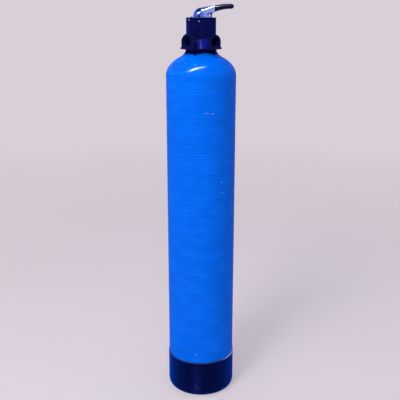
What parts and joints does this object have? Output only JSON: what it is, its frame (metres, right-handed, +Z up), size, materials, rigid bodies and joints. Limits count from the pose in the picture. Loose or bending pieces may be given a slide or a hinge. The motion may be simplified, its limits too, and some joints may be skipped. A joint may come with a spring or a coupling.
{
  "type": "carbon filter tank",
  "caption": "Tall domed pressure vessel on a moulded boot, holding a carbon bed round a riser, with a lever-worked multiport valve on its neck.",
  "frame": {"origin": "on the vessel's axis, at the floor under the boot", "axes": "+Z up along the vessel; +X out of the outlet port, -X out of the inlet port, -Y out of the drain port"},
  "size_m": [0.262, 0.262, 1.5022],
  "materials": {
    "winding_blue": "glossy blue filament winding with fine ridges",
    "moulded_black": "semi-gloss black moulding with a blue cast",
    "liner_white": "natural white polyethylene",
    "riser_white": "smooth white pipe",
    "strainer_grey": "grey moulding",
    "gravel_tan": "rounded gravel",
    "carbon_black": "dull black granules",
    "seal_rubber": "matt black rubber",
    "disc_ceramic": "lapped ceramic",
    "washer_nylon": "smooth nylon",
    "dial_grey": "satin grey ring",
    "stem_brass": "machined brass",
    "lever_chrome": "bright plating that mirrors blue",
    "grip_black": "glossy black grip",
    "screw_steel": "zinc-plated screws"
  },
  "bodies": {
    "vessel": {"tank_winding": "winding_blue", "tank_liner": "liner_white", "neck_collar": "moulded_black", "base_boot": "moulded_black", "riser_tube": "riser_white", "bottom_strainer": "strainer_grey", "gravel_bed": "gravel_tan", "carbon_bed": "carbon_black", "top_strainer": "strainer_grey", "valve_body": "moulded_black", "seat_seal": "seal_rubber", "fixed_disc": "disc_ceramic", "thrust_washer": "washer_nylon", "valve_cap": "moulded_black", "cap_screw_1": "screw_steel", "cap_screw_2": "screw_steel", "cap_screw_3": "screw_steel", "cap_screw_4": "screw_steel", "cap_screw_5": "screw_steel", "cap_screw_6": "screw_steel", "dial_ring": "dial_grey", "neck_seal": "seal_rubber", "riser_seal": "seal_rubber", "cap_seal": "seal_rubber", "stem_seal": "seal_rubber"},
    "lever": {"moving_disc": "disc_ceramic", "rotor_seal": "seal_rubber", "rotor_stem": "stem_brass", "handle_lever": "lever_chrome", "lever_grip": "grip_black", "grip_end_cap": "grip_black", "position_pin": "lever_chrome", "grub_screw": "screw_steel"}
  },
  "joints": [
    {"name": "lever_turn", "type": "hinge", "parent": "vessel", "child": "lever", "pos_m": [0, 0, 1.455], "axis": [0, 0, -1], "range_deg": [0, 180]}
  ]
}
